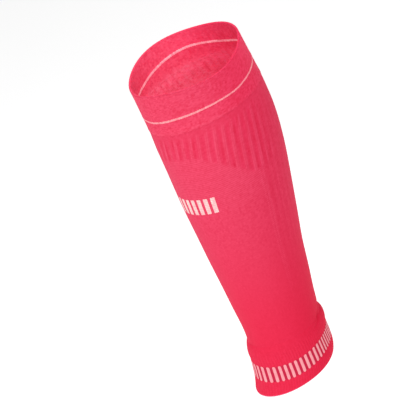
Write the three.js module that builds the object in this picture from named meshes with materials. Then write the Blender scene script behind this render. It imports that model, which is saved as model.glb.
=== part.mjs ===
import * as THREE from "three";

// A knitted calf sleeve in the form it has on a leg: +Z runs up the leg, -X is the shin and +X the calf.
// The origin lies on the leg's axis, in the middle of the hem.

// Heights in millimetres
const sleeveLength = 341.5;
const topCuffHeight = 45.5;
const ankleCuffHeight = 51;

// Outer sizes in millimetres: width from shin to calf, depth from side to side
const calfWidth = 115.4;
const calfDepth = 103.8;
const ankleWidth = 76.4;
const ankleDepth = 72.6;
const mouthWidth = 110.8;
const mouthDepth = 113.6;
const hemWidth = 86.4;
const hemDepth = 79.8;

// How far the middle of a round lies behind the hem's middle
const calfSetBack = 23.3;
const ankleSetBack = 7.4;
const mouthSetBack = 20.7;

// Walls and clearances
const tubeWall = 1.2;
const cuffWall = 2.4; // the cuffs are knitted double
const seamGap = 0.3;
const cuffStandOut = 0.4; // how far the top cuff stands out from the tube
const rimRise = 1.2; // height of the rounded edge at the mouth and the hem
const rimWave = 1.7; // the rim rises and dips by this three times on its way round

// Ribs of the knit
const ribCount = 44;
const ribHeight = 0.8;
const ribBandHeight = 28; // ribs all round under the top cuff
const ribPanelDrop = 45; // how much further down the band reaches beside the calf panel
const ribFade = 26; // height over which a rib runs out

// Angles in degrees, measured round the leg from the middle of the calf
const ribPanelReach = 65; // half of the ribbed panel on the back of the calf
const ribBandReach = 110; // where the band under the cuff has its plain height
const roundLean = 4.5; // each round stands higher at the calf than at the shin
const hemLean = 9.4; // the same at the hem
const mouthTilt = 4.9; // the mouth opens to the -Y side
const ribTwist = 12.5; // how far a rib turns on its way down from the top cuff, to the shin on the -Y side
const shinNarrowing = 0.04; // share by which a round is slimmer at the shin than at the calf

const sidesPerRib = 2;
const sides = ribCount * sidesPerRib;
const edgeSteps = 4;

// Form of the tube from the ankle cuff (height 0) to the top cuff (height 1).
// girth and setBack run from the ankle's size (0) to the calf's (1).
// twist is the share of the ribs' whole turn that a round has.
const tubeRounds = [
  { height: 0.0, girth: 0.0, setBack: 0.0, twist: 1.0 },
  { height: 0.065, girth: 0.026, setBack: 0.08, twist: 1.0 },
  { height: 0.157, girth: 0.138, setBack: 0.18, twist: 1.0 },
  { height: 0.303, girth: 0.323, setBack: 0.31, twist: 1.0 },
  { height: 0.448, girth: 0.538, setBack: 0.49, twist: 1.0 },
  { height: 0.585, girth: 0.744, setBack: 0.69, twist: 1.0 },
  { height: 0.665, girth: 0.85, setBack: 0.8, twist: 0.98 },
  { height: 0.735, girth: 0.923, setBack: 0.89, twist: 0.91 },
  { height: 0.81, girth: 0.98, setBack: 0.96, twist: 0.78 },
  { height: 0.882, girth: 1.0, setBack: 1.0, twist: 0.56 },
  { height: 0.94, girth: 0.99, setBack: 1.0, twist: 0.29 },
  { height: 1.0, girth: 0.954, setBack: 1.0, twist: 0.0 },
];

// Form of the top cuff from the tube's top (height 0) to the mouth (height 1).
// width, depth and setBack run from the tube's size (0) to the mouth's (1).
const topCuffRounds = [
  { height: 0.0, width: 0.0, depth: 0.0, setBack: 0.0 },
  { height: 0.3, width: 0.5, depth: -0.05, setBack: 0.3 },
  { height: 0.55, width: 0.7, depth: 0.2, setBack: 0.55 },
  { height: 0.78, width: 0.85, depth: 0.55, setBack: 0.78 },
  { height: 1.0, width: 1.0, depth: 1.0, setBack: 1.0 },
];

// Form of the ankle cuff from the hem (height 0) to its top (height 1).
// width, depth and lean run from the ankle's (0) to the hem's (1), and setBack the other way.
const ankleCuffRounds = [
  { height: 0.0, width: 1.0, depth: 1.0, setBack: 0.0, lean: 1.0 },
  { height: 0.12, width: 0.74, depth: 0.78, setBack: 0.22, lean: 0.94 },
  { height: 0.25, width: 0.6, depth: 0.63, setBack: 0.41, lean: 0.87 },
  { height: 0.53, width: 0.52, depth: 0.42, setBack: 0.69, lean: 0.64 },
  { height: 0.73, width: 0.67, depth: 0.28, setBack: 0.85, lean: 0.42 },
  { height: 0.88, width: 0.56, depth: 0.14, setBack: 0.95, lean: 0.2 },
  { height: 0.96, width: 0.26, depth: 0.05, setBack: 0.98, lean: 0.06 },
  { height: 1.0, width: 0.0, depth: 0.0, setBack: 1.0, lean: 0.0 },
];

const tubeTop = sleeveLength - topCuffHeight - seamGap;
const tubeBottom = ankleCuffHeight + seamGap;

const mix = THREE.MathUtils.lerp;

// Value of one column of a table at a height between two of its rows
function columnAt(rows, column, height) {
  const share = THREE.MathUtils.clamp(height, 0, 1);
  const next = Math.max(1, rows.findIndex((row) => row.height >= share));
  const low = rows[next - 1];
  const high = rows[next];
  return mix(low[column], high[column], (share - low.height) / (high.height - low.height));
}

// Half sizes and middle of the tube's outer face
function tubeRound(height) {
  const share = (height - tubeBottom) / (tubeTop - tubeBottom);
  const girth = columnAt(tubeRounds, "girth", share);
  return {
    halfWidth: mix(ankleWidth, calfWidth, girth) / 2,
    halfDepth: mix(ankleDepth, calfDepth, girth) / 2,
    setBack: mix(ankleSetBack, calfSetBack, columnAt(tubeRounds, "setBack", share)),
    lean: roundLean,
    tilt: 0,
    wave: 0,
    turned: -THREE.MathUtils.degToRad(ribTwist) * columnAt(tubeRounds, "twist", share),
  };
}

// The top cuff grows out of the tube's last round and opens to the mouth
function topCuffRound(height) {
  const share = (height - tubeTop) / (sleeveLength - tubeTop);
  const tube = tubeRound(tubeTop);
  return {
    halfWidth: mix(tube.halfWidth + cuffStandOut, mouthWidth / 2, columnAt(topCuffRounds, "width", share)),
    halfDepth: mix(tube.halfDepth + cuffStandOut, mouthDepth / 2, columnAt(topCuffRounds, "depth", share)),
    setBack: mix(tube.setBack, mouthSetBack, columnAt(topCuffRounds, "setBack", share)),
    lean: roundLean,
    tilt: Math.tan(THREE.MathUtils.degToRad(mouthTilt)) * share * share,
    wave: rimWave * THREE.MathUtils.smoothstep(share, 0.3, 0.7),
    turned: 0,
  };
}

// The ankle cuff carries the tube's lowest round on and opens to the hem
function ankleCuffRound(height) {
  const share = height / ankleCuffHeight;
  return {
    halfWidth: mix(ankleWidth, hemWidth, columnAt(ankleCuffRounds, "width", share)) / 2,
    halfDepth: mix(ankleDepth, hemDepth, columnAt(ankleCuffRounds, "depth", share)) / 2,
    setBack: mix(0, ankleSetBack, columnAt(ankleCuffRounds, "setBack", share)),
    lean: mix(roundLean, hemLean, columnAt(ankleCuffRounds, "lean", share)),
    tilt: 0,
    wave: 0,
    turned: 0,
  };
}

// How strongly the ribs stand out at a place on the tube, from 0 to 1
function ribStrength(angle, height) {
  const fromCalf = Math.abs(THREE.MathUtils.radToDeg(angle));
  const bandSide = THREE.MathUtils.clamp((ribBandReach - fromCalf) / (ribBandReach - ribPanelReach), 0, 1);
  const bandEnd = tubeTop - ribBandHeight - ribPanelDrop * bandSide;
  const band = THREE.MathUtils.smoothstep(height, bandEnd - ribFade, bandEnd);
  const panel = fromCalf < ribPanelReach ? THREE.MathUtils.smoothstep(height, tubeBottom, bandEnd) : 0;
  return Math.max(band, panel);
}

// One closed ring of points, set inwards from the outer face of its round
function ring(round, height, inset, ribs) {
  const lean = Math.tan(THREE.MathUtils.degToRad(round.lean));
  return Array.from({ length: sides }, (_, side) => {
    const turn = (side / sides) * 2 * Math.PI + round.turned;
    const angle = turn > Math.PI ? turn - 2 * Math.PI : turn;
    const crest = side % sidesPerRib === 0 ? 0.5 : -0.5;
    const outwards = (ribs ? crest * ribHeight * ribStrength(angle, height) : 0) - inset;
    const forwards = (round.halfWidth + outwards) * Math.cos(angle);
    const sideways = (round.halfDepth + outwards) * Math.sin(angle) * (1 + shinNarrowing * Math.cos(angle));
    const rise = lean * forwards + round.tilt * sideways + round.wave * Math.cos(3 * angle);
    return [round.setBack + forwards, sideways, height + rise];
  });
}

// Closed wall from rings that run up the outer face, over the upper edge and down the inner face
function wallGeometry(rings) {
  const index = [];
  rings.forEach((_, row) => {
    const here = row * sides;
    const above = ((row + 1) % rings.length) * sides;
    for (let side = 0; side < sides; side += 1) {
      const next = (side + 1) % sides;
      index.push(here + side, here + next, above + next);
      index.push(here + side, above + next, above + side);
    }
  });
  const geometry = new THREE.BufferGeometry();
  geometry.setAttribute("position", new THREE.Float32BufferAttribute(rings.flat(2), 3));
  geometry.setIndex(index);
  geometry.computeVertexNormals();
  return geometry;
}

// Rings over a rounded edge, from the outer face to the inner one. rise is negative for a lower edge.
function edgeRings(roundAt, edge, rise, wall) {
  const rings = [];
  for (let step = 0; step <= edgeSteps; step += 1) {
    const turn = (step / edgeSteps) * Math.PI;
    const height = edge - rise * (1 - Math.sin(turn));
    rings.push(ring(roundAt(height), height, (wall / 2) * (1 - Math.cos(turn)), false));
  }
  return rings;
}

function heightsOf(rows, bottom, top) {
  return rows.map((row) => mix(bottom, top, row.height));
}

function knit(name, color, roughness, rings) {
  const material = new THREE.MeshStandardMaterial({ color, roughness, metalness: 0 });
  const mesh = new THREE.Mesh(wallGeometry(rings), material);
  mesh.name = name;
  return mesh;
}

// Thin ribbed tube, from the ankle cuff to the top cuff
function calfTube() {
  const heights = heightsOf(tubeRounds, tubeBottom, tubeTop);
  const outer = heights.map((height) => ring(tubeRound(height), height, 0, true));
  const inner = heights.map((height) => ring(tubeRound(height), height, tubeWall, false));
  return knit("calf_tube", 0xeb3c5a, 0.85, [...outer, ...inner.reverse()]);
}

// Double band round the mouth, with a rounded rim
function topCuff() {
  const rim = edgeRings(topCuffRound, sleeveLength, rimRise, cuffWall);
  const bottom = tubeTop + seamGap;
  const heights = heightsOf(topCuffRounds, bottom, sleeveLength - rimRise).slice(0, -1);
  const outer = heights.map((height) => ring(topCuffRound(height), height, 0, false));
  const inner = heights.map((height) => ring(topCuffRound(height), height, cuffWall, false));
  return knit("top_cuff", 0xec4160, 0.85, [...outer, ...rim, ...inner.reverse()]);
}

// Double band at the ankle, which swells below the tube and ends in a rounded hem
function ankleCuff() {
  const hem = edgeRings(ankleCuffRound, 0, -rimRise, cuffWall).reverse();
  const heights = heightsOf(ankleCuffRounds, rimRise, ankleCuffHeight).slice(1);
  const outer = heights.map((height) => ring(ankleCuffRound(height), height, 0, false));
  const inner = heights.map((height) => ring(ankleCuffRound(height), height, cuffWall, false));
  return knit("ankle_cuff", 0xf03a5c, 0.85, [...hem, ...outer, ...inner.reverse()]);
}

const sleeve = new THREE.Group();
sleeve.add(topCuff(), calfTube(), ankleCuff());

export default sleeve;
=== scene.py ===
import math
from collections import namedtuple
import bmesh
import bpy
import numpy as np
from mathutils import Matrix, Vector, noise


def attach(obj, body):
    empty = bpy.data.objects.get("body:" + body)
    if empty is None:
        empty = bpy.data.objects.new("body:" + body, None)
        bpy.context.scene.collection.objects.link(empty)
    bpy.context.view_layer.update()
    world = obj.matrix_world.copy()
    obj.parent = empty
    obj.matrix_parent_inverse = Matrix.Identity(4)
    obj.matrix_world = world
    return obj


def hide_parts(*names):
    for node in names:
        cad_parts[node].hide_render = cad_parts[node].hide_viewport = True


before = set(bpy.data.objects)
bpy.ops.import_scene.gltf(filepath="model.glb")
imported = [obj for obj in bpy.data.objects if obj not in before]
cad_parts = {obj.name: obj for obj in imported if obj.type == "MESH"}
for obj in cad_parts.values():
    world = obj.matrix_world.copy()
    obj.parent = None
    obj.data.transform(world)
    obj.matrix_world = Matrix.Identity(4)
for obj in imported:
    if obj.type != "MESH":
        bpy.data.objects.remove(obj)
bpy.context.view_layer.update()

mm = 0.001
print("frame loaded:", sorted(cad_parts))


# camera: it looks along +Y, a little down, and is rolled so that the sleeve leans to the left
cameraSizes = {
    "aim": Vector((-17.3, 0.0, 206.3)) * mm,
    "distance": 1.8,
    "elevation": 25.53,
    "roll": -24.16,
    "viewWidth": 0.372,      # metres across the picture at the aim
    "sensor": 36.0,
    "clipEnd": 50.0,
}


def addCamera(sizes):
    pitch = math.radians(sizes["elevation"])
    roll = math.radians(sizes["roll"])
    forward = Vector((0.0, math.cos(pitch), -math.sin(pitch)))
    levelRight = Vector((1.0, 0.0, 0.0))
    levelUp = levelRight.cross(forward)
    right = math.cos(roll) * levelRight + math.sin(roll) * levelUp
    up = math.cos(roll) * levelUp - math.sin(roll) * levelRight
    data = bpy.data.cameras.new("photoCamera")
    data.sensor_width = sizes["sensor"]
    data.lens = sizes["sensor"] * sizes["distance"] / sizes["viewWidth"]
    data.clip_end = sizes["clipEnd"]
    camera = bpy.data.objects.new("photoCamera", data)
    turned = Matrix((right, up, -forward)).transposed().to_4x4()
    camera.matrix_world = Matrix.Translation(sizes["aim"] - forward * sizes["distance"]) @ turned
    bpy.context.scene.collection.objects.link(camera)
    bpy.context.scene.camera = camera


addCamera(cameraSizes)
print("camera placed")


# one round of the sleeve, sizes in millimetres and angles in degrees:
# setBack is how far its middle lies from the hem's towards the calf, lean lifts it at the calf,
# tilt lowers it on the -Y side, dip lowers it on both sides, wave bends it three times,
# and turn is how far the ribs have turned
Round = namedtuple("Round", "height setBack halfWidth halfDepth lean tilt dip wave turn")

sleeveForm = {
    "rounds": [
        Round(0.0, 0.0, 43.2, 39.9, 9.4, 0, -0.5, 0, 4.2),
        Round(6.1, 2.4, 43.1, 39.0, 9.1, 0, 0.5, 0, 3.7),
        Round(13.8, 4.1, 42.4, 38.4, 8.7, 0, 1.8, 0, 3.1),
        Round(31.6, 5.7, 41.0, 37.5, 7.2, 0, 1.8, 0, 1.8),
        Round(38.5, 6.4, 41.5, 37.2, 6.3, 0, 1.2, 0, 1.0),
        Round(44.9, 7.0, 40.9, 36.8, 5.5, 0, 0.6, 0, -0.4),
        Round(49.0, 7.25, 39.5, 36.5, 4.8, 0, 0.2, 0, -1.6),
        Round(51.1, 7.4, 38.2, 36.3, 4.5, 0, 0, 0, -2.3),
        Round(67.2, 8.7, 38.7, 36.7, 4.5, 0, 0, 0, -6.0),
        Round(89.7, 10.2, 40.9, 38.4, 4.5, 0, 0, 0, -9.0),
        Round(125.5, 12.3, 44.5, 41.3, 4.5, 0, 0, 0, -11.4),
        Round(161.0, 15.2, 48.7, 44.7, 4.5, 0, 0, 0, -12.4),
        Round(194.5, 18.2, 52.7, 47.9, 4.5, 0, 0, 0, -12.5),
        Round(214.1, 20.1, 54.8, 49.6, 4.5, 0, 0, 0, -12.3),
        Round(231.2, 21.5, 56.2, 50.7, 4.5, 0, 0, 0, -11.4),
        Round(249.6, 22.7, 57.3, 51.6, 4.5, 0, 0, 0, -9.8),
        Round(267.2, 23.3, 57.7, 51.9, 4.5, 0, 0, 0, -7.0),
        Round(281.3, 23.3, 57.5, 51.7, 4.5, 0, 0, 0, -3.6),
        Round(296.0, 23.3, 57.0, 51.4, 4.5, 0, 0, 0, 0.0),
        Round(309.5, 22.5, 56.3, 51.2, 4.5, 0.4, 0, 0, 3.0),
        Round(321.0, 21.9, 55.9, 52.3, 4.5, 1.5, 0, 1.2, 5.5),
        Round(331.5, 21.3, 55.6, 54.3, 4.5, 3.0, 0, 1.6, 7.5),
        Round(341.5, 20.7, 55.4, 56.8, 4.5, 4.9, 0, 1.7, 9.5),
    ],
    "shinNarrowing": 0.04,
    "walesPerRib": 4,
    "course": 1.25,          # height of a stitch
    "shadedSideMask": (-0.25, 0.65),  # cosines of the turns over which the painted shade of the calf side comes in
}


# a round at any height, on a smooth curve through the given ones
def roundAt(form, height):
    rows = form["rounds"]
    height = min(max(height, rows[0].height), rows[-1].height)
    i = max(n for n in range(len(rows) - 1) if rows[n].height <= height)
    before, low = rows[max(i - 1, 0)], rows[i]
    high, after = rows[i + 1], rows[min(i + 2, len(rows) - 1)]
    span = high.height - low.height
    t = (height - low.height) / span
    values = [height]
    for c in range(1, len(low)):
        slopeLow = (high[c] - before[c]) / (high.height - before.height) * span
        slopeHigh = (after[c] - low[c]) / (after.height - low.height) * span
        values.append((2 * t**3 - 3 * t**2 + 1) * low[c] + (t**3 - 2 * t**2 + t) * slopeLow
                      + (3 * t**2 - 2 * t**3) * high[c] + (t**3 - t**2) * slopeHigh)
    return Round(*values)


# point of the knit at a turn round the leg in radians: 0 at the calf, and a quarter back faces the camera
def knitPoint(form, at, turn, inset):
    forwards = (at.halfWidth - inset) * math.cos(turn)
    sideways = (at.halfDepth - inset) * math.sin(turn) * (1 + form["shinNarrowing"] * math.cos(turn))
    rise = math.tan(math.radians(at.lean)) * forwards + math.tan(math.radians(at.tilt)) * sideways
    rise += at.dip * math.cos(2 * turn) + at.wave * math.cos(3 * turn)
    return Vector((at.setBack + forwards, sideways, at.height + rise)) * mm


def smoothStep(low, high, value):
    t = min(max((value - low) / (high - low), 0.0), 1.0)
    return t * t * (3 - 2 * t)


# 1 at the middle, falling to 0 a few widths away
def bump(value, middle, width):
    return math.exp(-((value - middle) / width) ** 2)


# a swell round the leg: its middle and width are in degrees from the calf's middle, alike on both sides
Swell = namedtuple("Swell", "rise middle width")


def swellsAt(swells, side, base=0.0):
    return sum((s.rise * bump(side, s.middle, s.width) for s in swells), base)


# heights and insets over a rounded edge, from the outer face to the inner one;
# a negative rise is for a lower edge
def roundedEdge(edge, rise, wall, steps):
    turns = [math.pi * n / steps for n in range(steps + 1)]
    return [(edge - rise * (1 - math.sin(a)), wall / 2 * (1 - math.cos(a))) for a in turns]


def straightRun(start, end, steps, inset):
    return [(start + (end - start) * n / steps, inset) for n in range(steps)]


knitGrid = {
    "endRing": 0.12,         # a ring this close to an end keeps the shading even up to the next piece
    "edgeSteps": 8,          # over the rim and the hem
    "bakeMargin": 0.004,
    "seamGap": 0.02,         # between the tube and a cuff
}


# what a stitch does: out and lift move it in millimetres, shade makes its yarn paler (+) or deeper (-)
# and holds the painted shade of the fold and of the cuff's calf side,
# and ribs is how clearly the raised wales show there, or the sunken ones where it is negative
Stitch = namedtuple("Stitch", "out lift shade ribs")


def evenStretch(side):
    return 1.0


# turns of the columns in degrees; stretch says how widely the knit is pulled there
def columnTurns(columns, stretch):
    passed = [0.0]
    for degree in range(360):
        side = min(degree + 0.5, 359.5 - degree)
        passed.append(passed[-1] + 1 / stretch(side))
    wanted = [passed[-1] * column / columns for column in range(columns)]
    return np.interp(wanted, passed, range(361))


# a flat knitted grid rolled round the leg and closed over its own wall.
# profile runs up the outer face, over the upper edge, down the inner face and back to its start.
# relief gives the Stitch for a place in the ribs, a turn in degrees, a height
# and a length along the profile
def knitTube(name, form, profile, ribCount, columnsPerRib, relief, stretch=evenStretch):
    columns = ribCount * columnsPerRib
    rows = len(profile)
    turns = columnTurns(columns, stretch)
    closed = profile + profile[:1]
    lengths = [0.0]
    for (h0, i0), (h1, i1) in zip(closed, closed[1:]):
        lengths.append(lengths[-1] + math.hypot(h1 - h0, i1 - i0))
    bm = bmesh.new()
    knitUv = bm.loops.layers.uv.new("knit")
    bakeUv = bm.loops.layers.uv.new("OFBake")
    shadeLayer = bm.verts.layers.float.new("shade")
    ribLayer = bm.verts.layers.float.new("ribs")
    shadedSideLayer = bm.verts.layers.float.new("shadedSideMask")
    bmesh.ops.create_grid(bm, x_segments=columns, y_segments=rows, size=0.5)
    place = {v: (round((v.co.x + 0.5) * columns), round((v.co.y + 0.5) * rows)) for v in bm.verts}
    margin = knitGrid["bakeMargin"]
    for face in bm.faces:
        face.smooth = True
        for loop in face.loops:
            column, row = place[loop.vert]
            loop[knitUv].uv = (column / columnsPerRib * form["walesPerRib"], lengths[row])
            shares = (column / columns, lengths[row] / lengths[-1])
            loop[bakeUv].uv = [margin + (1 - 2 * margin) * share for share in shares]
    rounds = [roundAt(form, height) for height, _ in closed]
    for v, (column, row) in place.items():
        rib = column % columns / columnsPerRib
        degrees = (turns[column % columns] + rounds[row].turn + 180) % 360 - 180
        turn = math.radians(degrees)
        stitch = relief(rib, degrees, closed[row][0], lengths[row % rows])
        v[shadeLayer], v[ribLayer] = stitch.shade, stitch.ribs
        # share of the calf side's painted shade at this stitch
        v[shadedSideLayer] = smoothStep(*form["shadedSideMask"], math.cos(turn))
        v.co = knitPoint(form, rounds[row], turn, closed[row][1] - stitch.out)
        v.co.z += stitch.lift * mm
    bmesh.ops.remove_doubles(bm, verts=bm.verts, dist=1e-7)
    if bm.calc_volume(signed=True) < 0:
        bmesh.ops.reverse_faces(bm, faces=bm.faces)
    mesh = bpy.data.meshes.new(name)
    bm.to_mesh(mesh)
    bm.free()
    piece = bpy.data.objects.new(name, mesh)
    bpy.context.scene.collection.objects.link(piece)
    return piece


# the slight hollows and swells that any soft knit has
softness = {
    "depth": 0.35,
    "around": 1.3,           # how often they change on the way round
    "height": 38.0,
}


def unevenness(turn, height):
    a = math.radians(turn)
    around = softness["around"]
    place = Vector((math.cos(a) * around, math.sin(a) * around, height / softness["height"]))
    return softness["depth"] * noise.noise(place)


ribCrest = 0.75              # the raised half of a rib is its last two wales, and the crest lies between them


# 1 on the crest of each rib and -1 in the furrow
def ribWave(rib):
    return math.cos(2 * math.pi * (rib - ribCrest))


# two fine waves to a rib
def fineWave(rib):
    return math.cos(4 * math.pi * rib)


# fold above the ankle cuff: it starts at the calf and runs down to both sides, and painted shade darkens its
# crease.
# the places on the way round are in degrees from the calf's middle
ankleFold = {
    "high": 56.0,
    "low": 45.5,
    "bends": 18.0,           # where it turns down
    "levels": 50.0,
    "fades": 42.0,
    "ends": 64.0,
    "width": 2.0,
    "depth": 0.8,
    # painted shade in the crease
    "shade": 0.9,
}


def foldDepth(sizes, turn, height):
    side = abs(turn)
    fallen = smoothStep(sizes["bends"], sizes["levels"], side)
    line = sizes["high"] - (sizes["high"] - sizes["low"]) * fallen
    return bump(height, line, sizes["width"]) * (1 - smoothStep(sizes["fades"], sizes["ends"], side))


# thin tube over the calf, with ribs under the top cuff and down the back
calfTubeSizes = {
    "bottom": 51.0,
    "top": 296.0,
    "wall": 1.2,
    "flat": (0.26, 0.235),   # metres round and up, before it is stretched over the leg
    "rowStep": 1.7,
    "ribs": 44,
    "columnsPerRib": 8,
    "ribRelief": 0.12,
    "ribsBegin": 285.0,      # full below this height, and fading out over ribsFade above it
    "ribsFade": 8.0,
    "bandEnd": 269.5,        # where they end on the shin side
    "bandDrop": 38.0,        # how much lower they end beside the calf panel
    "bandReach": 122.0,      # degrees from the calf's middle where the end starts to drop
    "bandLowest": 72.0,      # and where it has dropped all the way
    "bandBend": 1.2,
    "bandFade": (-1.5, 1.8),
    "clearRibs": (40.0, 56.0),  # degrees over which the ribs of the band grow as clear as at the shin
    "panelReach": 66.0,      # half of the calf panel
    "panelEdge": 2.0,
    "panelRibs": 0.30,
    "panelFade": (90.0, 190.0),  # heights over which the panel's ribs come in
    "netEnd": 188.0,         # the paler open knit below the band fades out here
    "netFade": 42.0,
    "netPaleness": 1.2,
    "lineOffset": 1.5,       # raised lines on both sides of the panel's edge
    "lineWidth": 0.9,
    "lineFade": (75.0, 130.0),
    "lineRelief": 0.12,
    "linePaleness": 1.3,
    "anklePinkReach": (-10.0, 150.0),  # lengths above the lower end over which the ankle's pink gives way
}


# the inner face follows the outer one
def calfTubeRelief(rib, turn, height, along):
    sizes = calfTubeSizes
    side = abs(turn)
    fallen = (sizes["bandReach"] - side) / (sizes["bandReach"] - sizes["bandLowest"])
    bandEnd = sizes["bandEnd"] - sizes["bandDrop"] * min(max(fallen, 0.0), 1.0) ** sizes["bandBend"]
    below, above = sizes["bandFade"]
    band = smoothStep(bandEnd + below, bandEnd + above, height)
    reach, edge = sizes["panelReach"], sizes["panelEdge"]
    onPanel = 1 - smoothStep(reach - edge, reach + edge, side)
    ribs = band * (sizes["panelRibs"] + (1 - sizes["panelRibs"]) * smoothStep(*sizes["clearRibs"], side))
    ribs = max(ribs, onPanel * sizes["panelRibs"] * smoothStep(*sizes["panelFade"], height))
    ribs *= 1 - smoothStep(sizes["ribsBegin"], sizes["ribsBegin"] + sizes["ribsFade"], height)
    openKnit = smoothStep(sizes["netEnd"], sizes["netEnd"] + sizes["netFade"], height)
    shade = sizes["netPaleness"] * ((1 - band) * (1 - onPanel) * openKnit)
    out = unevenness(turn, height) + sizes["ribRelief"] * ribWave(rib) * ribs
    lineFade = smoothStep(*sizes["lineFade"], height)
    for offset in (-sizes["lineOffset"], sizes["lineOffset"]):
        onLine = bump(side, reach + offset, sizes["lineWidth"]) * lineFade * (1 - band)
        out += sizes["lineRelief"] * onLine
        shade += sizes["linePaleness"] * onLine
    fold = foldDepth(ankleFold, turn, height)
    # the fold sinks the knit and painted shade darkens its crease
    return Stitch(out - ankleFold["depth"] * fold, 0.0, shade - ankleFold["shade"] * fold, ribs)


def makeCalfTube(form, sizes):
    steps = round((sizes["top"] - sizes["bottom"]) / sizes["rowStep"])
    low, high = sizes["bottom"] + knitGrid["endRing"], sizes["top"] - knitGrid["endRing"]
    profile = [(sizes["bottom"], 0.0)]
    profile += straightRun(low, high, steps, 0.0)
    profile += [(high, 0.0), (sizes["top"], 0.0), (sizes["top"], sizes["wall"])]
    profile += straightRun(high, low, steps // 2, sizes["wall"])
    profile += [(low, sizes["wall"]), (sizes["bottom"], sizes["wall"])]
    return knitTube("calfTubeKnit", form, profile, sizes["ribs"], sizes["columnsPerRib"], calfTubeRelief)


calfTube = makeCalfTube(sleeveForm, calfTubeSizes)
print("calf tube knitted:", len(calfTube.data.polygons), "faces")


# double cuff round the mouth. drops are measured down from the rim
topCuffSizes = {
    "bottom": calfTubeSizes["top"] + knitGrid["seamGap"],
    "top": sleeveForm["rounds"][-1].height,
    "standOut": 0.3,
    "wall": 2.4,
    "rimRise": 1.3,
    "flat": (0.31, 0.045),
    "rowStep": 1.1,
    "lineHeight": 312.0,     # pale line outside
    "lineWidth": 1.9,
    "lineRelief": 0.2,
    "lineSwell": 1.2,        # width over which a line stands out
    "innerLineDrop": 14.6,   # pale line inside
    "lipRise": 1.6,          # raised and paler course at the lower edge
    "lipWidth": 0.9,
    "lipPaleness": 0.8,
    "lipRelief": 0.14,
    "seamRise": 0.2,
    "seamWidth": 0.5,
    "seamDepth": 0.3,        # how much deeper the yarn is in the seam
    "cuffSideShade": Swell(0.9, 48, 24),  # painted shade: the cuff's calf side, turned away from the light, is made deeper there
    "fineRelief": 0.04,
    "finePaleness": 0.15,
    "innerEdgeDrop": 28.6,   # where the doubled part ends inside and ribs begin
    "innerEdgeFade": (-0.6, 0.8),
    "innerStep": 0.25,
    "innerLipRise": 0.8,     # above that edge
    "innerLipPaleness": 0.7,
    "innerRibRelief": 0.12,
    "innerRibFade": (0.5, 4.0),  # above the lower edge
    "innerRibs": -0.42,
    "faintRibs": -0.22,      # ribs that show through the doubled part on the calf side
    "faintRibFade": (1.5, 4.0),
    "faintRibReach": (70.0, 110.0),
    "innerPinkAndSheenReach": (-0.5, 2.5),  # from the top of the outer face, where the inside's paler yarn and painted sheen begin
    "paintedInsideLightReach": (-7.0, 3.0),  # from the inner edge, over which the painted light inside comes in
    "rimShadeReach": (1.2, 2.8),  # from the middle of the rim, where painted shade darkens it
}

# the courses stray up and down on the way round, and the pale lines with them
courseStray = {
    "outer": [Swell(3.6, 0, 30), Swell(-1.0, 60, 16), Swell(-1.3, 148, 22)],
    "outerSink": 0.4,
    "outerReach": 8.0,
    "inner": [Swell(1.9, 82, 22), Swell(-3.0, 32, 24), Swell(-3.6, 144, 30)],
    "innerReach": 6.0,
}


def topCuffOuterStitch(sizes, rib, turn, height):
    side = abs(turn)
    fine = fineWave(rib)
    lift = swellsAt(courseStray["outer"], side) - courseStray["outerSink"]
    lift *= bump(height, sizes["lineHeight"], courseStray["outerReach"])
    lip = bump(height, sizes["bottom"] + sizes["lipRise"], sizes["lipWidth"])
    seam = bump(height, sizes["bottom"] + sizes["seamRise"], sizes["seamWidth"])
    out = unevenness(turn, height)
    out += sizes["lineRelief"] * bump(height, sizes["lineHeight"], sizes["lineSwell"])
    out += sizes["lipRelief"] * lip + sizes["fineRelief"] * fine
    shade = sizes["lipPaleness"] * lip + sizes["finePaleness"] * fine
    # deeper yarn in the seam, and painted shade on the side turned away from the light
    shade -= sizes["seamDepth"] * seam + swellsAt([sizes["cuffSideShade"]], side)
    return Stitch(out, lift, shade, 0.0)


def topCuffInnerStitch(sizes, rib, turn, height):
    side = abs(turn)
    drop = sizes["top"] - height
    lift = swellsAt(courseStray["inner"], side)
    lift *= bump(drop, sizes["innerLineDrop"], courseStray["innerReach"])
    above, below = sizes["innerEdgeFade"]
    single = smoothStep(sizes["innerEdgeDrop"] + above, sizes["innerEdgeDrop"] + below, drop)
    thinned = smoothStep(sizes["innerEdgeDrop"] + above, sizes["top"] - sizes["bottom"], drop)
    fine = fineWave(rib) * (1 - single)
    ribs = single * smoothStep(*sizes["innerRibFade"], height - sizes["bottom"])
    faintRibs = (1 - single) * smoothStep(*sizes["faintRibFade"], drop)
    faintRibs *= 1 - smoothStep(*sizes["faintRibReach"], side)
    onLine = bump(drop, sizes["innerLineDrop"], sizes["lineSwell"])
    out = unevenness(turn, height)
    out -= sizes["lineRelief"] * onLine + sizes["fineRelief"] * fine
    out += sizes["innerStep"] * single
    out += (sizes["wall"] - sizes["standOut"] - calfTubeSizes["wall"] - sizes["innerStep"]) * thinned
    out += sizes["innerRibRelief"] * ribWave(rib) * ribs
    lip = bump(drop, sizes["innerEdgeDrop"] - sizes["innerLipRise"], sizes["lipWidth"])
    shade = sizes["innerLipPaleness"] * lip + sizes["finePaleness"] * fine
    return Stitch(out, lift, shade, sizes["innerRibs"] * ribs + sizes["faintRibs"] * faintRibs)


def topCuffRelief(rib, turn, height, along):
    sizes = topCuffSizes
    if along < sizes["top"] - sizes["bottom"]:
        return topCuffOuterStitch(sizes, rib, turn, height)
    return topCuffInnerStitch(sizes, rib, turn, height)


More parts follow.
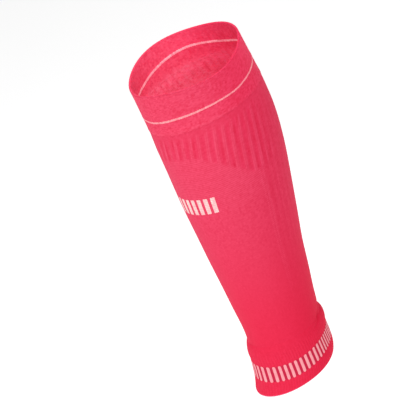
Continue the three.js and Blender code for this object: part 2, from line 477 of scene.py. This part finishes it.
def makeTopCuff(form, sizes):
    bodyTop = sizes["top"] - sizes["rimRise"]
    steps = round((bodyTop - sizes["bottom"]) / sizes["rowStep"])
    outer, inner = -sizes["standOut"], sizes["wall"] - sizes["standOut"]
    low = sizes["bottom"] + knitGrid["endRing"]
    rim = roundedEdge(sizes["top"], sizes["rimRise"], sizes["wall"], knitGrid["edgeSteps"])
    profile = [(sizes["bottom"], 0.0), (low, outer)]
    profile += straightRun(low + knitGrid["endRing"], bodyTop, steps, outer)
    profile += [(height, inset + outer) for height, inset in rim]
    profile += straightRun(bodyTop, low, steps, inner)[1:]
    profile += [(low, inner), (sizes["bottom"], inner)]
    tube = calfTubeSizes
    return knitTube("topCuffKnit", form, profile, tube["ribs"], tube["columnsPerRib"], topCuffRelief)


topCuff = makeTopCuff(sleeveForm, topCuffSizes)
print("top cuff knitted:", len(topCuff.data.polygons), "faces")


# double cuff at the ankle, with raised pale bars and fine ribs above and below them
ankleCuffSizes = {
    "top": calfTubeSizes["bottom"] - knitGrid["seamGap"],
    "wall": 2.4,
    "hemRise": 1.3,
    "flat": (0.22, 0.052),
    "rowStep": 0.75,
    "bars": 48,
    "columnsPerBar": 12,
    "barPitch": 5.3,         # mean distance from bar to bar
    "barShare": 0.51,        # how much of it a bar takes up
    "barBottom": 14.6,
    "barTop": 30.7,
    "barFade": 0.9,
    "barRelief": 0.4,
    "barSink": 0.35,         # share of the relief by which the knit lies lower between the bars
    "barSoftness": 0.25,
    "barGapShadeFade": (-1.0, 0.3),  # from the ends of the bars, over which the painted shade between them comes in
    "fineRelief": 0.13,
    "finePaleness": 0.7,
    "fineFade": (40.0, 48.0),  # heights over which the fine ribs run out
    "fineLean": 3.0,         # how much higher they run at the calf
}

# the bars stand widest beside the shin and closest beside the calf
barStretch = [Swell(0.4, 145, 20), Swell(-0.3, 38, 22)]


def ankleStretch(side):
    return swellsAt(barStretch, side, 1.0)


# the way up the outer face is shorter than the cuff, and the inner face begins past it
def ankleCuffRelief(rib, turn, height, along):
    sizes = ankleCuffSizes
    fold = foldDepth(ankleFold, turn, height)
    out = unevenness(turn, height) - ankleFold["depth"] * fold
    if along > sizes["top"]:
        return Stitch(out, 0.0, 0.0, 0.0)
    fade = sizes["barFade"]
    inBars = smoothStep(sizes["barBottom"] - fade, sizes["barBottom"] + fade, height)
    inBars *= 1 - smoothStep(sizes["barTop"] - fade, sizes["barTop"] + fade, height)
    fromBar = min(abs(rib % 1.0 - 0.5) * 2 / sizes["barShare"], 1.0)
    bar = math.sqrt(1 - fromBar ** 2) - sizes["barSink"]
    low, high = sizes["fineFade"]
    high += sizes["fineLean"] * math.cos(math.radians(turn))
    fine = fineWave(rib) * (1 - inBars) * (1 - smoothStep(low, high, height))
    out += sizes["barRelief"] * bar * inBars + sizes["fineRelief"] * fine
    # the fold sinks the knit and painted shade darkens its crease
    return Stitch(out, 0.0, sizes["finePaleness"] * fine - ankleFold["shade"] * fold, 0.0)


def makeAnkleCuff(form, sizes):
    high = sizes["top"] - knitGrid["endRing"]
    steps = round((sizes["top"] - sizes["hemRise"]) / sizes["rowStep"])
    hem = roundedEdge(0.0, -sizes["hemRise"], sizes["wall"], knitGrid["edgeSteps"])
    profile = straightRun(sizes["hemRise"], high, steps, 0.0)
    profile += [(high, 0.0), (sizes["top"], 0.0), (sizes["top"], sizes["wall"])]
    profile += straightRun(high, sizes["hemRise"], steps // 2, sizes["wall"])
    profile += hem[:0:-1]      # from the inner face round to just before the start
    columns = sizes["columnsPerBar"]
    return knitTube("ankleCuffKnit", form, profile, sizes["bars"], columns, ankleCuffRelief, ankleStretch)


ankleCuff = makeAnkleCuff(sleeveForm, ankleCuffSizes)
print("ankle cuff knitted:", len(ankleCuff.data.polygons), "faces")


# shader helpers
def addNode(tree, kind, **settings):
    node = tree.nodes.new(kind)
    for key, value in settings.items():
        setattr(node, key, value)
    return node


def calc(tree, operation, *values):
    node = addNode(tree, "ShaderNodeMath", operation=operation)
    for socket, value in zip(node.inputs, values):
        if isinstance(value, (int, float)):
            socket.default_value = value
        else:
            tree.links.new(value, socket)
    return node.outputs[0]


def mapRange(tree, value, fromLow, fromHigh, toLow=0.0, toHigh=1.0):
    node = addNode(tree, "ShaderNodeMapRange", interpolation_type="SMOOTHSTEP")
    tree.links.new(value, node.inputs["Value"])
    for socket, number in zip(node.inputs[1:5], (fromLow, fromHigh, toLow, toHigh)):
        socket.default_value = number
    return node.outputs["Result"]


def mixColor(tree, share, first, second, blend="MIX"):
    node = addNode(tree, "ShaderNodeMix", data_type="RGBA", blend_type=blend)
    sockets = [s for s in node.inputs if s.enabled]
    for socket, value in zip(sockets, (share, first, second)):
        if isinstance(value, bpy.types.NodeSocket):
            tree.links.new(value, socket)
        elif isinstance(value, tuple):
            socket.default_value = (*value, 1.0)
        else:
            socket.default_value = value
    return [s for s in node.outputs if s.enabled][0]


def newGroup(name, inputs, outputs):
    group = bpy.data.node_groups.new(name, "ShaderNodeTree")
    for label, default in inputs.items():
        socket = group.interface.new_socket(label, in_out="INPUT", socket_type="NodeSocketFloat")
        socket.default_value = default
    for label in outputs:
        group.interface.new_socket(label, in_out="OUTPUT", socket_type="NodeSocketFloat")
    return group, addNode(group, "NodeGroupInput").outputs, addNode(group, "NodeGroupOutput").inputs


def useGroup(tree, group, **values):
    node = addNode(tree, "ShaderNodeGroup", node_tree=group)
    for label, value in values.items():
        if isinstance(value, (int, float)):
            node.inputs[label].default_value = value
        else:
            tree.links.new(value, node.inputs[label])
    return node.outputs


# knit effects that the three materials share
knitEffects = {
    "slant": 1.3,            # courses by which the legs of a stitch rise to its sides
    "legEnds": 0.45,         # height of a leg's ends beside its middle
    "legRoundness": 0.7,
    "dashShift": 3.7,        # courses from the dashes of a wale to those of the next
    "dashSpread": 1.37,      # above 1, so that the wales next to each other differ
    "dashDetail": 1.0,
    "cloudScale": 30.0,
    "cloudDetail": 3.0,
    "teeth": 0.8,            # how far a band's edge steps from stitch to stitch
    "bandSoftness": 0.15,
}


# height of the V-shaped stitches, from the wale and the course that a point lies in
def makeStitchGroup(sizes):
    tree, given, result = newGroup("knitStitch", {"Wale": 0, "Course": 0}, ["Height"])
    place = calc(tree, "FRACT", given["Wale"])
    fromMiddle = calc(tree, "ABSOLUTE", calc(tree, "SUBTRACT", place, 0.5))
    leg = calc(tree, "ABSOLUTE", calc(tree, "SINE", calc(tree, "MULTIPLY", place, 2 * math.pi)))
    slanted = calc(tree, "ADD", given["Course"], calc(tree, "MULTIPLY", fromMiddle, sizes["slant"]))
    loop = calc(tree, "ABSOLUTE", calc(tree, "SINE", calc(tree, "MULTIPLY", slanted, math.pi)))
    body = calc(tree, "ADD", sizes["legEnds"], calc(tree, "MULTIPLY", loop, 1 - sizes["legEnds"]))
    rounded = calc(tree, "POWER", leg, sizes["legRoundness"])
    tree.links.new(calc(tree, "MULTIPLY", rounded, body), result["Height"])
    return tree


# lighter and darker short dashes along the wales, as uneven yarn gives, single stitches,
# and broad soft clouds, each around a mean of about 0
def makeHeatherGroup(sizes):
    inputs = {"Wale": 0, "Course": 0, "Length": 4}
    tree, given, result = newGroup("heather", inputs, ["Dash", "Speck", "Cloud"])
    wale = calc(tree, "FLOOR", given["Wale"])
    shifted = calc(tree, "ADD", given["Course"], calc(tree, "MULTIPLY", wale, sizes["dashShift"]))
    cell = addNode(tree, "ShaderNodeCombineXYZ")
    tree.links.new(calc(tree, "MULTIPLY", wale, sizes["dashSpread"]), cell.inputs["X"])
    tree.links.new(calc(tree, "DIVIDE", shifted, given["Length"]), cell.inputs["Y"])
    dash = addNode(tree, "ShaderNodeTexNoise", noise_dimensions="2D")
    dash.inputs["Scale"].default_value = 1.0
    dash.inputs["Detail"].default_value = sizes["dashDetail"]
    tree.links.new(cell.outputs["Vector"], dash.inputs["Vector"])
    stitch = addNode(tree, "ShaderNodeCombineXYZ")
    tree.links.new(wale, stitch.inputs["X"])
    tree.links.new(calc(tree, "FLOOR", given["Course"]), stitch.inputs["Y"])
    speck = addNode(tree, "ShaderNodeTexWhiteNoise", noise_dimensions="2D")
    tree.links.new(stitch.outputs["Vector"], speck.inputs["Vector"])
    cloud = addNode(tree, "ShaderNodeTexNoise")
    cloud.inputs["Scale"].default_value = sizes["cloudScale"]
    cloud.inputs["Detail"].default_value = sizes["cloudDetail"]
    tree.links.new(addNode(tree, "ShaderNodeTexCoord").outputs["Object"], cloud.inputs["Vector"])
    values = {"Dash": dash.outputs["Fac"], "Speck": speck.outputs["Value"], "Cloud": cloud.outputs["Fac"]}
    for label, value in values.items():
        tree.links.new(calc(tree, "SUBTRACT", value, 0.5), result[label])
    return tree


# a band round the sleeve whose edges step from stitch to stitch: 1 within Half of the Middle
def makeBandGroup(sizes):
    tree, given, result = newGroup("knitBand", {"Wale": 0, "Along": 0, "Middle": 0, "Half": 1}, ["Mask"])
    tooth = calc(tree, "ABSOLUTE", calc(tree, "SUBTRACT", calc(tree, "FRACT", given["Wale"]), 0.5))
    stepped = calc(tree, "SUBTRACT", sizes["teeth"] / 4, calc(tree, "MULTIPLY", tooth, sizes["teeth"]))
    distance = calc(tree, "ABSOLUTE", calc(tree, "SUBTRACT", given["Along"], given["Middle"]))
    inside = calc(tree, "SUBTRACT", calc(tree, "ADD", given["Half"], stepped), distance)
    mask = mapRange(tree, inside, -sizes["bandSoftness"], sizes["bandSoftness"])
    tree.links.new(mask, result["Mask"])
    return tree


stitchGroup = makeStitchGroup(knitEffects)
heatherGroup = makeHeatherGroup(knitEffects)
bandGroup = makeBandGroup(knitEffects)
print("knit effects made")


yarn = {
    "pink": (0.82, 0.046, 0.112),
    "cuffPink": (0.86, 0.056, 0.126),
    "anklePink": (0.83, 0.021, 0.070),
    # inside the cuff: paler yarn, with a painted sheen on top
    "innerPinkAndSheen": (0.85, 0.068, 0.146),
    "rimShade": (0.71, 0.046, 0.105),     # painted shade: darker on the rounded edge of the mouth, whose top catches the light
    "paintedInsideLight": (1.0, 0.150, 0.268),     # painted light: paler on the single knit inside, below the doubled part, where little light reaches
    "farSideShade": (1.0, 0.70, 0.85),       # painted shade: the calf side, which turns away from the key light, is made deeper
    "pale": (1.0, 0.32, 0.36),
    "innerPale": (1.0, 0.38, 0.46),
    "barPale": (1.0, 0.37, 0.41),
    "markPale": (0.98, 0.50, 0.53),
    "barGapShade": (0.60, 0.016, 0.060),      # painted shade in the recesses between the raised bars
    "heatherTint": (0.18, 1.0, 0.75),    # how much of a tone goes to red, green and blue
    "shadeTint": (0.07, 1.0, 0.55),
    "dashLength": 4.0,                   # in courses
    "ribDashLength": 26.0,               # on the ribs each wale keeps its own tone for longer
    "ribDashTone": 0.9,
    "evenness": 0.5,                     # share of the yarn's tone that is left where it is most even
    "cloudTone": 0.10,
    "stitchTop": 0.8,                    # height of a stitch from which its tone is full
    "stitchTones": (-0.07, 0.04),        # tones between the stitches and on them
    "openCourse": 1.9,                   # height of a course where the knit is open
    "openTone": 0.14,
    "shadeTone": 0.20,
    "ribTone": 0.80,
    "crestPower": 1.5,                   # above 1, so that the furrows are wider than the crests
    "waleGap": 0.2,                      # share of a crest's paleness that is left between two wales
    "streakMean": 0.28,
}

# how uneven the yarn of each piece is, in short dashes and in single stitches.
# evenReach gives the lengths above the lower end over which the tube's yarn grows fully uneven
unevenYarn = {
    "calfTube": {"dash": 0.42, "speck": 0.26, "evenReach": (51.0, 170.0)},
    "topCuff": {"dash": 0.58, "speck": 0.52},
    "ankleCuff": {"dash": 0.38, "speck": 0.15},
}

knitFinish = {
    "stitchDepth": 0.22 * mm,
    "bumpStrength": 0.25,
    "Roughness": 0.8,
    "Specular IOR Level": 0.12,
    "Sheen Weight": 0.02,
    "Sheen Roughness": 0.4,
    "Sheen Tint": (1.0, 0.45, 0.8, 1.0),
}


# factor for a colour: 1 where the tone is 0, and more or less as the tint says
def toneFactor(tree, tone, tint):
    factor = addNode(tree, "ShaderNodeCombineColor")
    for socket, strength in zip(factor.inputs, tint):
        tree.links.new(calc(tree, "ADD", 1.0, calc(tree, "MULTIPLY", tone, strength)), socket)
    return factor.outputs["Color"]


# pale streaks of the raised wales, two to a rib, around a mean of 0
def ribStreaks(tree, form, wale):
    wave = calc(tree, "SINE", calc(tree, "MULTIPLY", wale, 2 * math.pi / form["walesPerRib"]))
    raised = calc(tree, "SUBTRACT", 0.5, calc(tree, "MULTIPLY", wave, 0.5))
    crest = calc(tree, "POWER", raised, yarn["crestPower"])
    middle = calc(tree, "ABSOLUTE", calc(tree, "SINE", calc(tree, "MULTIPLY", wale, math.pi)))
    onWale = calc(tree, "ADD", yarn["waleGap"], calc(tree, "MULTIPLY", middle, 1 - yarn["waleGap"]))
    return calc(tree, "SUBTRACT", calc(tree, "MULTIPLY", crest, onWale), yarn["streakMean"])


# lighter and darker yarn, the shade between the stitches, and fine course lines where the knit is open
def knitTone(tree, uneven, knit):
    wale, along, course = knit["wale"], knit["along"], knit["course"]
    heather = useGroup(tree, heatherGroup, Wale=wale, Course=course, Length=yarn["dashLength"])
    tone = calc(tree, "MULTIPLY", heather["Dash"], uneven["dash"])
    tone = calc(tree, "ADD", tone, calc(tree, "MULTIPLY", heather["Speck"], uneven["speck"]))
    ribHeather = useGroup(tree, heatherGroup, Wale=wale, Course=course, Length=yarn["ribDashLength"])
    onRibs = calc(tree, "MULTIPLY", calc(tree, "ABSOLUTE", knit["ribs"]), yarn["ribDashTone"])
    tone = calc(tree, "ADD", tone, calc(tree, "MULTIPLY", ribHeather["Dash"], onRibs))
    if "evenReach" in uneven:
        share = mapRange(tree, along, *uneven["evenReach"], yarn["evenness"], 1.0)
        tone = calc(tree, "MULTIPLY", tone, share)
    tone = calc(tree, "ADD", tone, calc(tree, "MULTIPLY", heather["Cloud"], yarn["cloudTone"]))
    stitchTone = mapRange(tree, knit["stitch"], 0.0, yarn["stitchTop"], *yarn["stitchTones"])
    tone = calc(tree, "ADD", tone, stitchTone)
    courseLine = calc(tree, "SINE", calc(tree, "MULTIPLY", along, 2 * math.pi / yarn["openCourse"]))
    openKnit = calc(tree, "MULTIPLY", calc(tree, "MAXIMUM", knit["shade"], 0.0), yarn["openTone"])
    return calc(tree, "ADD", tone, calc(tree, "MULTIPLY", courseLine, openKnit))


# paler (+) and deeper (-) yarn, with painted shade, as the stitches' shade and ribs say
def knitDepth(tree, form, knit):
    depth = calc(tree, "MULTIPLY", knit["shade"], yarn["shadeTone"])
    strength = calc(tree, "MULTIPLY", knit["ribs"], yarn["ribTone"])
    streaks = calc(tree, "MULTIPLY", ribStreaks(tree, form, knit["wale"]), strength)
    return calc(tree, "ADD", depth, streaks)


# one knit material: paint gives the ground's colour, and the places and colours of the pale yarns
def finishKnit(name, form, paint, uneven):
    material = bpy.data.materials.new(name)
    material.use_nodes = True
    tree = material.node_tree
    split = addNode(tree, "ShaderNodeSeparateXYZ")
    tree.links.new(addNode(tree, "ShaderNodeUVMap", uv_map="knit").outputs["UV"], split.inputs["Vector"])
    knit = {"wale": split.outputs["X"], "along": split.outputs["Y"]}
    knit["course"] = calc(tree, "DIVIDE", knit["along"], form["course"])
    knit["stitch"] = useGroup(tree, stitchGroup, Wale=knit["wale"], Course=knit["course"])["Height"]
    for label in ("shade", "ribs", "shadedSideMask"):
        knit[label] = addNode(tree, "ShaderNodeAttribute", attribute_name=label).outputs["Fac"]
    ground, pales = paint(tree, knit["wale"], knit["along"])
    # painted shade: the calf side, away from the key light, is deepened by the tint
    shadedGround = mixColor(tree, 1.0, ground, yarn["farSideShade"], "MULTIPLY")
    color = mixColor(tree, knit["shadedSideMask"], ground, shadedGround)
    for place, pale in pales:
        color = mixColor(tree, place, color, pale)
    toneColor = toneFactor(tree, knitTone(tree, uneven, knit), yarn["heatherTint"])
    color = mixColor(tree, 1.0, color, toneColor, "MULTIPLY")
    depthColor = toneFactor(tree, knitDepth(tree, form, knit), yarn["shadeTint"])
    color = mixColor(tree, 1.0, color, depthColor, "MULTIPLY")
    surface = addNode(tree, "ShaderNodeBump")
    surface.inputs["Distance"].default_value = knitFinish["stitchDepth"]
    surface.inputs["Strength"].default_value = knitFinish["bumpStrength"]
    tree.links.new(knit["stitch"], surface.inputs["Height"])
    shader = tree.nodes["Principled BSDF"]
    tree.links.new(color, shader.inputs["Base Color"])
    tree.links.new(surface.outputs["Normal"], shader.inputs["Normal"])
    for label in ("Roughness", "Specular IOR Level", "Sheen Weight", "Sheen Roughness", "Sheen Tint"):
        shader.inputs[label].default_value = knitFinish[label]
    return material


# a row of short upright dashes in pale yarn on the shin side, in the manner of the ankle's bars
markSizes = {
    "firstWale": 98,
    "dashes": 7,
    "pitch": 4,              # wales from dash to dash
    "dashWales": 2.4,
    "middle": 167.0,         # millimetres above the tube's lower end
    "half": 8.2,
}


def paintMark(tree, wale, along):
    sizes = markSizes
    halfRow = sizes["dashes"] * sizes["pitch"] / 2
    fromFirst = calc(tree, "SUBTRACT", wale, sizes["firstWale"])
    fromMiddle = calc(tree, "ABSOLUTE", calc(tree, "SUBTRACT", fromFirst, halfRow))
    inRow = calc(tree, "LESS_THAN", fromMiddle, halfRow)
    inDash = calc(tree, "LESS_THAN", calc(tree, "MODULO", fromFirst, sizes["pitch"]), sizes["dashWales"])
    band = useGroup(tree, bandGroup, Wale=wale, Along=along, Middle=sizes["middle"], Half=sizes["half"])
    return calc(tree, "MULTIPLY", band["Mask"], calc(tree, "MULTIPLY", inRow, inDash))


def paintCalfTube(tree, wale, along):
    sizes = calfTubeSizes
    towardsAnkle = mapRange(tree, along, *sizes["anklePinkReach"], 1.0, 0.0)
    outside = mixColor(tree, towardsAnkle, yarn["pink"], yarn["anklePink"])
    isInner = calc(tree, "GREATER_THAN", along, sizes["top"] - sizes["bottom"])
    # painted light: the inner face is paler, for light that hardly reaches into the tube
    ground = mixColor(tree, isInner, outside, yarn["paintedInsideLight"])
    return ground, [(paintMark(tree, wale, along), yarn["markPale"])]


# places along the profile: up the outer face, over the rim and down the inner face
def paintTopCuff(tree, wale, along):
    sizes = topCuffSizes
    outerLength = sizes["top"] - sizes["bottom"]
    halfRim = math.pi / 4 * (sizes["rimRise"] + sizes["wall"] / 2)
    rimMiddle = outerLength - sizes["rimRise"] + sizes["standOut"] + halfRim
    outerLine = sizes["lineHeight"] - sizes["bottom"] + sizes["standOut"]
    innerLine = outerLength + 2 * (halfRim - sizes["rimRise"]) + sizes["innerLineDrop"]
    innerEdge = innerLine + sizes["innerEdgeDrop"] - sizes["innerLineDrop"]
    # the inside's paler yarn with painted sheen
    start, end = sizes["innerPinkAndSheenReach"]
    isInner = mapRange(tree, along, outerLength + start, outerLength + end)
    ground = mixColor(tree, isInner, yarn["cuffPink"], yarn["innerPinkAndSheen"])
    # painted light deep inside, below the doubled part
    start, end = sizes["paintedInsideLightReach"]
    isDeep = mapRange(tree, along, innerEdge + start, innerEdge + end)
    ground = mixColor(tree, isDeep, ground, yarn["paintedInsideLight"])
    # painted shade on the rim's top, which faces the lights
    fromRim = calc(tree, "ABSOLUTE", calc(tree, "SUBTRACT", along, rimMiddle))
    onRim = mapRange(tree, fromRim, *sizes["rimShadeReach"], 1.0, 0.0)
    ground = mixColor(tree, onRim, ground, yarn["rimShade"])
    half = sizes["lineWidth"] / 2
    outerBand = useGroup(tree, bandGroup, Wale=wale, Along=along, Middle=outerLine, Half=half)
    innerBand = useGroup(tree, bandGroup, Wale=wale, Along=along, Middle=innerLine, Half=half)
    return ground, [(outerBand["Mask"], yarn["pale"]), (innerBand["Mask"], yarn["innerPale"])]


# bars with round ends, on a ground darkened with painted shade between them
def paintAnkleCuff(tree, wale, along):
    sizes = ankleCuffSizes
    pitch = sizes["barPitch"]
    radius = pitch * sizes["barShare"] / 2
    middle = (sizes["barBottom"] + sizes["barTop"]) / 2 - sizes["hemRise"]
    half = (sizes["barTop"] - sizes["barBottom"]) / 2
    place = calc(tree, "FRACT", calc(tree, "DIVIDE", wale, sleeveForm["walesPerRib"]))
    across = calc(tree, "MULTIPLY", calc(tree, "ABSOLUTE", calc(tree, "SUBTRACT", place, 0.5)), pitch)
    fromMiddle = calc(tree, "ABSOLUTE", calc(tree, "SUBTRACT", along, middle))
    beyond = calc(tree, "MAXIMUM", calc(tree, "SUBTRACT", fromMiddle, half - radius), 0.0)
    squares = calc(tree, "ADD", calc(tree, "POWER", across, 2.0), calc(tree, "POWER", beyond, 2.0))
    soft = sizes["barSoftness"]
    bar = mapRange(tree, calc(tree, "SQRT", squares), radius - soft, radius + soft, 1.0, 0.0)
    start, end = sizes["barGapShadeFade"]
    inBars = mapRange(tree, fromMiddle, half + start, half + end, 1.0, 0.0)
    # painted shade in the furrows between the bars
    ground = mixColor(tree, inBars, yarn["anklePink"], yarn["barGapShade"])
    # painted light on the inner face
    ground = mixColor(tree, calc(tree, "GREATER_THAN", along, sizes["top"]), ground, yarn["paintedInsideLight"])
    return ground, [(bar, yarn["barPale"])]


calfTubeYarn = finishKnit("calfTubeYarn", sleeveForm, paintCalfTube, unevenYarn["calfTube"])
topCuffYarn = finishKnit("topCuffYarn", sleeveForm, paintTopCuff, unevenYarn["topCuff"])
ankleCuffYarn = finishKnit("ankleCuffYarn", sleeveForm, paintAnkleCuff, unevenYarn["ankleCuff"])
print("yarn finished")


# what each piece is made of and stands for
def declare(piece, material, node):
    piece.data.materials.append(material)
    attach(piece, "root")
    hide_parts(node)


declare(topCuff, topCuffYarn, "top_cuff")
declare(calfTube, calfTubeYarn, "calf_tube")
declare(ankleCuff, ankleCuffYarn, "ankle_cuff")
print("pieces declared")


# plain pale floor, well below the hem, and soft studio light; places in metres
studio = {
    "floorDrop": 0.35,
    "floorSide": 30.0,
    "floorColor": (0.96, 0.96, 0.96, 1.0),
    "floorRoughness": 0.9,
    "floorGlow": 0.40,
    "white": (1, 1, 1, 1),
    "worldStrength": 0.44,
    "key": {"place": (-1.9, -1.3, 1.5), "side": 1.6, "power": 19.0},
    "top": {"place": (0.1, -0.5, 2.4), "side": 1.2, "power": 29.0},
    "mouth": {
        "place": (0.62, -0.54, 1.52),
        "aim": (-0.012, 0.034, 0.300),
        "cone": 7.0,         # degrees
        "size": 0.03,
        "power": 43.0,
    },
}


def makeFloor(sizes):
    bm = bmesh.new()
    bmesh.ops.create_grid(bm, x_segments=1, y_segments=1, size=sizes["floorSide"] / 2)
    bmesh.ops.translate(bm, verts=bm.verts, vec=(0, 0, -sizes["floorDrop"]))
    mesh = bpy.data.meshes.new("floor")
    bm.to_mesh(mesh)
    bm.free()
    floor = bpy.data.objects.new("floor", mesh)
    bpy.context.scene.collection.objects.link(floor)
    material = bpy.data.materials.new("paleFloor")
    material.use_nodes = True
    shader = material.node_tree.nodes["Principled BSDF"]
    shader.inputs["Base Color"].default_value = sizes["floorColor"]
    shader.inputs["Roughness"].default_value = sizes["floorRoughness"]
    shader.inputs["Emission Color"].default_value = sizes["white"]
    shader.inputs["Emission Strength"].default_value = sizes["floorGlow"]
    mesh.materials.append(material)


def placeLight(data, place, aim):
    light = bpy.data.objects.new(data.name, data)
    light.location = place
    light.rotation_euler = (Vector(aim) - light.location).to_track_quat("-Z", "Y").to_euler()
    bpy.context.scene.collection.objects.link(light)


def addSoftLight(name, sizes, aim):
    data = bpy.data.lights.new(name, "AREA")
    data.size = sizes["side"]
    data.energy = sizes["power"]
    placeLight(data, sizes["place"], aim)


# a soft-edged beam into the mouth, for the inside of the cuff
def addMouthLight(sizes):
    data = bpy.data.lights.new("mouthLight", "SPOT")
    data.energy = sizes["power"]
    data.spot_size = math.radians(sizes["cone"])
    data.spot_blend = 1.0
    data.shadow_soft_size = sizes["size"]
    placeLight(data, sizes["place"], sizes["aim"])


def lightStudio(sizes):
    world = bpy.data.worlds.new("studio")
    world.use_nodes = True
    background = world.node_tree.nodes["Background"]
    background.inputs["Color"].default_value = sizes["white"]
    background.inputs["Strength"].default_value = sizes["worldStrength"]
    bpy.context.scene.world = world
    addSoftLight("keyLight", sizes["key"], cameraSizes["aim"])
    addSoftLight("topLight", sizes["top"], cameraSizes["aim"])
    addMouthLight(sizes["mouth"])
    bpy.context.scene.view_settings.view_transform = "Standard"


makeFloor(studio)
lightStudio(studio)
print("studio lit")
